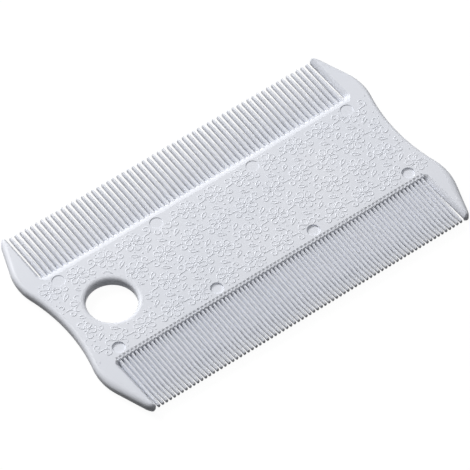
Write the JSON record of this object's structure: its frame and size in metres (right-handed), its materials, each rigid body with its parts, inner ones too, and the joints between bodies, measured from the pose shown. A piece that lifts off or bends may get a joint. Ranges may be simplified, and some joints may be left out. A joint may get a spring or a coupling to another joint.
{
  "type": "flea comb",
  "caption": "Flat double-sided plastic flea comb with a coarse row and a fine row of teeth, end guards, finger hollows and a round hanging hole.",
  "frame": {"origin": "centre of the flat back face, on which the comb rests", "axes": "+X along the comb, away from the hanging hole; +Y across it, towards the coarse teeth; +Z out of the front face"},
  "size_m": [0.1, 0.0592, 0.0032],
  "materials": {
    "comb_plastic": "satin white moulded polystyrene"
  },
  "bodies": {
    "root": {"grip_panel": "comb_plastic", "coarse_root_rail": "comb_plastic", "fine_root_rail": "comb_plastic", "coarse_teeth": "comb_plastic", "fine_teeth": "comb_plastic", "coarse_guard_left": "comb_plastic", "coarse_guard_right": "comb_plastic", "fine_guard_left": "comb_plastic", "fine_guard_right": "comb_plastic"}
  },
  "joints": []
}
